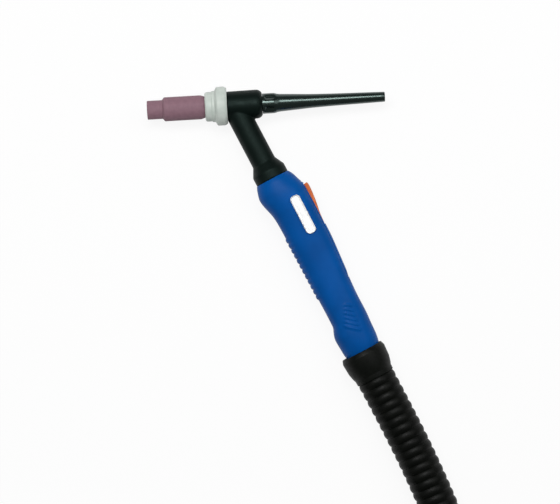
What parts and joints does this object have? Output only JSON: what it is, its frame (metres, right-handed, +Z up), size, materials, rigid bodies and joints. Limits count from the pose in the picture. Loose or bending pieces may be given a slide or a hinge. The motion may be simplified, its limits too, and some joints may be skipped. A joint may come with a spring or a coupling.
{
  "type": "tig torch",
  "caption": "Air-cooled TIG torch with a ceramic nozzle, long back cap, trigger handle, knuckle joint and coiled hose pack ending in plugs.",
  "frame": {"origin": "middle of the base of the torch's box without the hose pack, on the surface that it lies on", "axes": "+X from the nozzle towards the back cap, +Y from the handle towards the head, +Z up from the surface"},
  "size_m": [0.2382, 0.5586, 0.064],
  "materials": {
    "ceramic_mauve": "matt fired alumina",
    "gasket_pale": "pale moulded fluoropolymer",
    "copper": "bright turned copper",
    "tungsten": "ground tungsten",
    "brass": "turned brass",
    "head_rubber": "smooth moulded black",
    "cap_black": "glossy moulded black",
    "seal_rubber": "matt",
    "handle_blue": "satin moulded blue",
    "trigger_orange": "satin moulded orange",
    "steel": "bright zinc plate",
    "label_white": "plain blank white",
    "switch_black": "matt",
    "plunger_ivory": "smooth",
    "contact_brass": "plated",
    "wire_red": "smooth",
    "tinned_copper": "tinned",
    "lead_rubber": "matt",
    "ball_black": "polished moulded black",
    "boot_rubber": "satin moulded black",
    "sleeve_rubber": "satin ribbed black",
    "hose_rubber": "smooth black",
    "grip_rubber": "matt moulded black",
    "plug_plastic": "matt",
    "nut_metal": "nickel plate"
  },
  "bodies": {
    "handle": {"nozzle": "ceramic_mauve", "cup_gasket": "gasket_pale", "collet_body": "copper", "head_core": "brass", "neck_tube": "copper", "head_cover": "head_rubber", "handle_shell_left": "handle_blue", "handle_shell_right": "handle_blue", "handle_screws": "steel", "label_plate": "label_white", "switch_module": "handle_blue", "trigger_pin": "steel", "microswitch": "switch_black", "switch_terminals": "contact_brass", "switch_wires": "wire_red", "power_fitting": "brass", "cable_ferrule": "tinned_copper", "inner_lead": "lead_rubber"},
    "collet": {"collet": "copper"},
    "cap": {"back_cap": "cap_black", "back_cap_seal": "seal_rubber"},
    "electrode": {"electrode": "tungsten"},
    "trigger": {"trigger": "trigger_orange"},
    "plunger": {"switch_plunger": "plunger_ivory"},
    "hose_side": {"knuckle_ball": "ball_black", "boot_cap": "boot_rubber", "ribbed_sleeve": "sleeve_rubber", "sleeve_end": "boot_rubber", "hose_run": "hose_rubber", "hose_coil": "hose_rubber", "hose_tail": "hose_rubber", "breakout_boot": "boot_rubber", "plug_grip": "grip_rubber", "plug_pin": "contact_brass", "control_lead": "hose_rubber", "control_plug": "plug_plastic", "control_pins": "contact_brass"},
    "control_nut": {"control_nut": "nut_metal"}
  },
  "joints": [
    {"name": "collet_slide", "type": "slide", "parent": "handle", "child": "collet", "axis": [1, 0, 0], "range_m": [0, 0.003]},
    {"name": "cap_turn", "type": "hinge", "parent": "collet", "child": "cap", "pos_m": [-0.0223, 0.0926, 0.016], "axis": [1, 0, 0], "range_deg": [0, 1080]},
    {"name": "electrode_slide", "type": "slide", "parent": "collet", "child": "electrode", "axis": [-1, 0, 0], "range_m": [0, 0.012]},
    {"name": "trigger_press", "type": "hinge", "parent": "handle", "child": "trigger", "pos_m": [0.03207, 0.00946, 0.016], "axis": [0, 0, 1], "range_deg": [0, 3.5], "stiffness_Nm_per_rad": 0.5, "springref_deg": -1.15},
    {"name": "plunger_press", "type": "slide", "parent": "handle", "child": "plunger", "axis": [-0.91, -0.4147, 0], "range_m": [0, 0.0012]},
    {"name": "knuckle_bend", "type": "hinge", "parent": "handle", "child": "hose_side", "pos_m": [0.05143, -0.07161, 0.016], "axis": [0, 0, 1], "range_deg": [-20, 20]},
    {"name": "nut_turn", "type": "hinge", "parent": "hose_side", "child": "control_nut", "pos_m": [0.12303, -0.37656, 0.0387], "axis": [0.1736, -0.9848, 0], "continuous": true}
  ],
  "couplings": [
    {"joint": "cap_turn", "follows": "collet_slide", "rad_per_m": 6283.2},
    {"joint": "plunger_press", "follows": "trigger_press", "m_per_rad": 0.0185}
  ]
}
